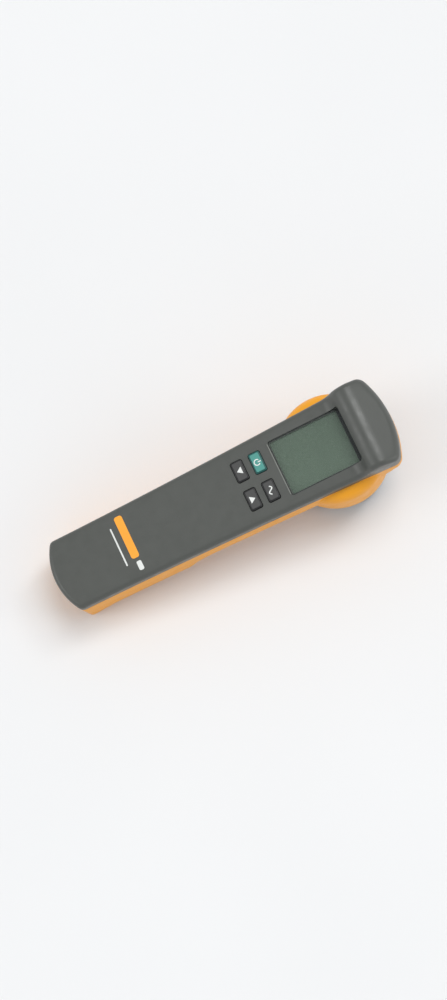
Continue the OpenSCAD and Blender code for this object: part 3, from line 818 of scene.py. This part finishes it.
def legend(key):
    """Outlines of a key's plain symbol, in millimetres to the right and up as the instrument is held."""
    if key == "power_key":
        ring = [(1.5 * math.sin(math.radians(a)), 1.5 * math.cos(math.radians(a)) - 0.1)
                for a in range(40, 321, 10)]
        return [stroke(ring, 0.5), stroke([(0, 0.3), (0, 2.0)], 0.5)]
    if key == "mode_key":
        wave = [(4.4 * i / 24 - 2.2, 1.1 * math.sin(2 * math.pi * i / 24)) for i in range(25)]
        return [stroke(wave, 0.6)]
    tip = 1.4 if key == "up_key" else -1.4
    return [[(-1.9, -tip), (1.9, -tip), (0, tip)]]


def keys():
    """Each key's cap, the panel on it and its symbol, all on the key's own body."""
    for name, material in KEYS.items():
        low, high = extent(name)
        soft_copy(name, name + "_cap", material, name, width=0.35 * MM, segments=3)
        centre = (low + high) / 2
        border = 1.5 * MM
        panel = rounded_block((low.x + border, low.y + border, high.z - PRINT),
                              (high.x - border, high.y - border, high.z + PRINT / 2), 0.6 * MM)
        add_object(name + "_top", panel, teal_top if material is key_teal else dark_top, name)
        for i, outline in enumerate(legend(name)):
            spots = [(centre.x + v * MM, centre.y - u * MM) for u, v in outline]
            add_object(f"{name}_symbol_{i}", prism(spots, high.z, high.z + PRINT), print_white, name)


def strip(name, x, y, length, width, material, proud=0.04 * MM):
    """A thin plain strip on the handle's face, by its middle and its size along and across."""
    bm = rounded_block((x - length / 2, y - width / 2, FACE_HEIGHT - CROWN),
                       (x + length / 2, y + width / 2, FACE_HEIGHT + proud), min(length, width) * 0.3)
    add_object(name, bm, material)


def face_strips():
    """Plain marks in place of the handle's print, and a thin pale strip along the window's tail edge, whose
    pale colour is a painted highlight of that lit edge.
    """
    strip("amber_strip", 43 * MM, 3.6 * MM, 4.3 * MM, 23.5 * MM, print_amber)
    strip("pale_strip", 37.2 * MM, 0.5 * MM, 0.8 * MM, 21 * MM, print_white)
    strip("end_strip", 43.4 * MM, -12.6 * MM, 2.6 * MM, 5 * MM, print_white)
    # A thin raised strip, painted pale as the highlight on the lit tail edge of the window's recess
    strip("window_edge_highlight", window_low.x - 0.3 * MM, 0, 0.45 * MM, window_high.y - window_low.y - 2 * MM,
          pale_highlight_paint, proud=0.12 * MM)


def window_border_and_shadow():
    """The dark border printed on the window's underside, broadened under the brow into a painted shadow that
    the brow casts on the display.
    """
    level = window_low.z
    # The thin sides are print; the broad part under the brow is painted shadow
    border, brow_shadow = 0.6 * MM, 1.8 * MM
    below, above = 0.02 * MM, 0.03 * MM
    outer = rounded_block((window_low.x, window_low.y, level - below),
                          (window_high.x, window_high.y, level + above), 1.3 * MM)
    inner = rounded_block((window_low.x + border / 2, window_low.y + border, level - PAST),
                          (window_high.x - brow_shadow, window_high.y - border, level + PAST), 0.6 * MM)
    add_object("window_border_and_shadow", cut(outer, inner), dark_print_and_shadow)


front_housing()
rear_housing()
bay_door()
keys()
face_strips()
window_border_and_shadow()
soft_copy("lamp_bezel", "bezel_ring", black_plastic, width=0.5 * MM, segments=3)
soft_copy("lens_window", "lens", lens_clear, sharp=20)
soft_copy("reflector", "reflector_cups", silvered, width=0.15 * MM)
soft_copy("display_window", "window", window_clear, width=0.15 * MM, sharp=20)
soft_copy("trigger", "trigger_paddle", trigger_plastic, "trigger", width=0.8 * MM, segments=4)
for i in range(1, 8):
    soft_copy(f"led_{i}", f"led_chip_{i}", phosphor, width=0.1 * MM)


# ---- Studio ----

def camera():
    """Looks at the face from nearly square on, from a little to the right and beyond the head."""
    toward_head = math.radians(4.5)
    toward_right = math.radians(11)
    head_angle = math.radians(26.4)
    distance = 1.5
    shown_height = 0.51
    back = (up + along * math.tan(toward_head) - across * math.tan(toward_right)).normalized()
    flat = (along - back * along.dot(back)).normalized()
    turned = back.cross(flat)
    right = flat * math.cos(head_angle) - turned * math.sin(head_angle)
    above = back.cross(right)
    low, high = extent("front_shell")
    target = to_frame @ Vector(((low.x + high.x) / 2, 0, low.z))
    data = bpy.data.cameras.new("camera")
    data.lens = data.sensor_width * distance / shown_height
    data.clip_start = 0.01
    eye = bpy.data.objects.new("camera", data)
    eye.matrix_world = Matrix.Translation(target + back * distance) @ Matrix(
        (right, above, back)).transposed().to_4x4()
    bpy.context.scene.collection.objects.link(eye)
    bpy.context.scene.camera = eye


def softbox(name, side, strength, degrees):
    """A distant round softbox, seen from the object toward side and that many degrees across."""
    data = bpy.data.lights.new(name, "SUN")
    data.energy = strength
    data.angle = math.radians(degrees)
    lamp = bpy.data.objects.new(name, data)
    lamp.location = side
    lamp.rotation_euler = Vector(side).to_track_quat("Z", "Y").to_euler()
    bpy.context.scene.collection.objects.link(lamp)


def sky(strength, horizon, overhead):
    """An even sky that fades at its lower edge to the floor's own tone."""
    world = bpy.data.worlds.new("studio")
    bpy.context.scene.world = world
    world.use_nodes = True
    nodes, links = world.node_tree.nodes, world.node_tree.links
    heading = nodes.new("ShaderNodeTexCoord").outputs["Generated"]
    split = nodes.new("ShaderNodeSeparateXYZ")
    links.new(heading, split.inputs[0])
    rise = nodes.new("ShaderNodeMapRange")
    fade_end = 0.3
    rise.inputs["From Max"].default_value = fade_end
    links.new(split.outputs["Z"], rise.inputs["Value"])
    tone = nodes.new("ShaderNodeMix")
    tone.data_type = "RGBA"
    for socket, colour in zip(MIX_COLOURS, (horizon, overhead)):
        tone.inputs[socket].default_value = colour
    links.new(rise.outputs["Result"], tone.inputs["Factor"])
    links.new(tone.outputs[MIX_RESULT], nodes["Background"].inputs["Color"])
    nodes["Background"].inputs["Strength"].default_value = strength


def studio():
    """A wide pale floor under an even sky, lit from beyond the head and a little to its left."""
    bm = bmesh.new()
    bmesh.ops.create_grid(bm, x_segments=2, y_segments=2, size=20.0)
    mesh = bpy.data.meshes.new("floor")
    bm.to_mesh(mesh)
    bm.free()
    floor = bpy.data.objects.new("floor", mesh)
    bpy.context.scene.collection.objects.link(floor)
    s = Surface("pale floor")
    s.colour(s.mix(s.span(s.noise(3, 2), 0, 1), (0.80, 0.80, 0.80, 1), (0.83, 0.83, 0.83, 1)))
    s.roughness(s.span(s.noise(20, 2), 0.7, 0.8))
    s.set(Specular_IOR_Level=0.2)
    mesh.materials.append(s.material)
    sky(0.6, (1.52, 1.53, 1.55, 1), (0.95, 0.975, 1.0, 1))
    softbox("key", (0.75, 0.28, 1.0), 0.35, 14)
    softbox("overhead", (0.32, 0.22, 1.1), 1.05, 29)
    softbox("fill", (-1.1, 0.2, 0.8), 0.55, 29)
    softbox("rim", (1.0, -0.5, 0.45), 0.35, 23)


camera()
studio()
bpy.context.scene.view_settings.view_transform = "Standard"
